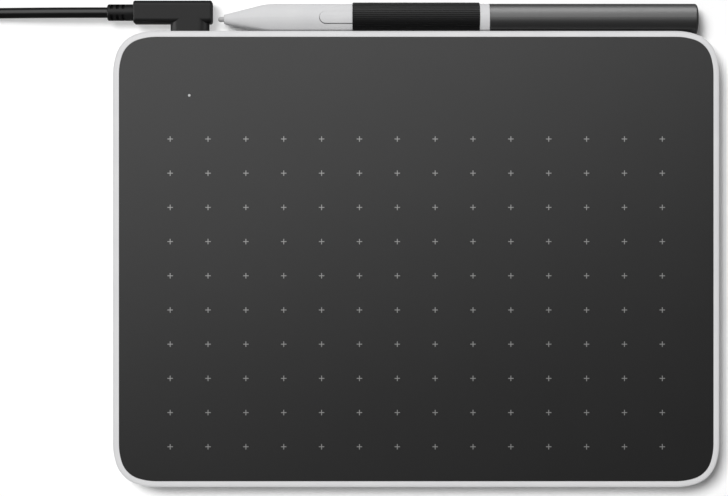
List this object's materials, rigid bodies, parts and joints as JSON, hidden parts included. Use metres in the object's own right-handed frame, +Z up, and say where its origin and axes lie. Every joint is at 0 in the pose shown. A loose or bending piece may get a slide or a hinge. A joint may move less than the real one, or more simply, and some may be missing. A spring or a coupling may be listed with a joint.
{
  "type": "graphics tablet",
  "caption": "Thin rounded graphics tablet with a dark gridded drawing surface in a pale rim, a pen in an elastic loop along its back edge and an angled-plug USB lead.",
  "frame": {"origin": "on the desk, under the middle of the tablet together with the pen held at its back", "axes": "+X to the user's right along the tablet's long side, +Y away from the user towards the pen, +Z up out of the drawing surface"},
  "size_m": [0.2882, 0.1508, 0.0105],
  "materials": {
    "white_housing": "fine satin",
    "black_plastic": "moulded",
    "drawing_surface": "fine paper-like grain",
    "printed_mark": "printed ink",
    "foot_rubber": "matte",
    "steel": "plated",
    "circuit_board": "solder mask",
    "white_plastic": "moulded",
    "flex_film": "polyimide film",
    "battery_foil": "pouch foil",
    "lead_insulation": "wire insulation",
    "clear_plastic": "diffusing",
    "elastic_fabric": "ribbed elastic",
    "pen_light_plastic": "satin",
    "pen_dark_plastic": "satin",
    "ferrite": "sintered",
    "copper": "enamelled wire",
    "nib_plastic": "smooth",
    "cable_rubber": "satin"
  },
  "bodies": {
    "tablet": {"back_cover": "white_housing", "top_plate": "black_plastic", "surface_sheet": "drawing_surface", "grid_marks": "printed_mark", "rubber_feet": "foot_rubber", "case_screws": "steel", "sensor_board": "circuit_board", "shield_plate": "steel", "main_board": "circuit_board", "board_screws": "steel", "usb_c_receptacle_shell": "steel", "usb_c_receptacle_tongue": "black_plastic", "main_controller_chip": "black_plastic", "charger_chip": "black_plastic", "wireless_module": "steel", "flex_connector": "white_plastic", "sensor_flex": "flex_film", "battery_cell": "battery_foil", "battery_leads": "lead_insulation", "battery_plug": "white_plastic", "power_switch": "black_plastic", "status_led": "clear_plastic", "status_light_guide": "clear_plastic", "pen_loop": "elastic_fabric", "pen_loop_anchor": "black_plastic"},
    "power_button": {"power_button": "white_housing"},
    "pen": {"pen_front_case": "pen_light_plastic", "pen_chassis": "black_plastic", "pen_ferrite_core": "ferrite", "pen_coil": "copper", "pen_pressure_sensor": "black_plastic", "pen_circuit_board": "circuit_board", "pen_switches": "black_plastic", "side_switch_pin": "steel"},
    "nib": {"pen_nib": "nib_plastic", "pen_nib_holder": "black_plastic"},
    "side_switch": {"side_switch": "pen_light_plastic"},
    "rear_barrel": {"pen_rear_barrel": "pen_dark_plastic"},
    "usb_lead": {"usb_c_plug_body": "cable_rubber", "usb_c_plug_shell": "steel", "cable_strain_relief": "cable_rubber", "cable_run": "cable_rubber", "cable_coil": "cable_rubber", "cable_tail": "cable_rubber", "usb_a_strain_relief": "cable_rubber", "usb_a_plug_body": "cable_rubber", "usb_a_plug_shell": "steel", "usb_a_plug_insert": "white_plastic"}
  },
  "joints": [
    {"name": "power_button_press", "type": "slide", "parent": "tablet", "child": "power_button", "axis": [1, 0, 0], "range_m": [0, 0.0003], "stiffness_N_per_m": 800, "springref_m": -0.0006},
    {"name": "pen_slide", "type": "slide", "parent": "tablet", "child": "pen", "axis": [1, 0, 0], "range_m": [0, 0.085]},
    {"name": "nib_press", "type": "slide", "parent": "pen", "child": "nib", "axis": [1, 0, 0], "range_m": [0, 0.0004], "stiffness_N_per_m": 800, "springref_m": -0.0002},
    {"name": "side_switch_rock", "type": "hinge", "parent": "pen", "child": "side_switch", "pos_m": [-0.0169, 0.07004, 0.00755], "axis": [0, 0.9986, -0.0523], "range_deg": [-1.2, 1.2], "stiffness_Nm_per_rad": 0.3},
    {"name": "rear_barrel_pull", "type": "slide", "parent": "pen", "child": "rear_barrel", "axis": [1, 0, 0], "range_m": [0, 0.058]},
    {"name": "usb_plug_pull", "type": "slide", "parent": "tablet", "child": "usb_lead", "axis": [0, 1, 0], "range_m": [0, 0.009]}
  ]
}
